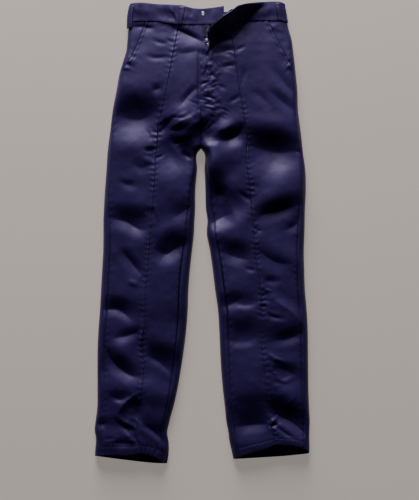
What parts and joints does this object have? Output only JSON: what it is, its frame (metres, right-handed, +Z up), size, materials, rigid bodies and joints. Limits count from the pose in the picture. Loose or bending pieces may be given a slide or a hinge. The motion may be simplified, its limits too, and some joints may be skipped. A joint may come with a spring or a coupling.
{
  "type": "work trousers",
  "caption": "Long straight-leg work trousers in dark twill laid flat on their back, creased fronts, slanted pockets, belt loops, zip fly open at the top.",
  "frame": {"origin": "middle of the bounding box, on the surface that the trousers lie on", "axes": "+Y from the hems towards the waist, +Z up from the surface, +X towards the wearer's left"},
  "size_m": [0.4967, 1.0643, 0.0568],
  "materials": {
    "twill": "dark navy twill with a faint sheen",
    "tape": "woven tape",
    "steel": "satin plated",
    "zip_metal": "dull plated"
  },
  "bodies": {
    "trousers": {"front_right": "twill", "front_left": "twill", "back_right": "twill", "back_left": "twill", "pocket_facing_right": "twill", "pocket_facing_left": "twill", "waistband_right": "twill", "waistband_left": "twill", "fly_shield": "twill", "loop_front_right": "twill", "loop_front_left": "twill", "loop_side_left": "twill", "loop_side_right": "twill", "zip_tape_right": "tape", "zip_tape_left": "tape", "waist_bar": "steel", "waist_hook": "steel", "zip_slider": "zip_metal"},
    "pull_tab": {"zip_pull": "zip_metal"}
  },
  "joints": [
    {"name": "pull_hinge", "type": "hinge", "parent": "trousers", "child": "pull_tab", "pos_m": [0.01235, 0.43509, 0.0266], "axis": [-0.945, -0.3272, 0], "range_deg": [0, 90]}
  ]
}
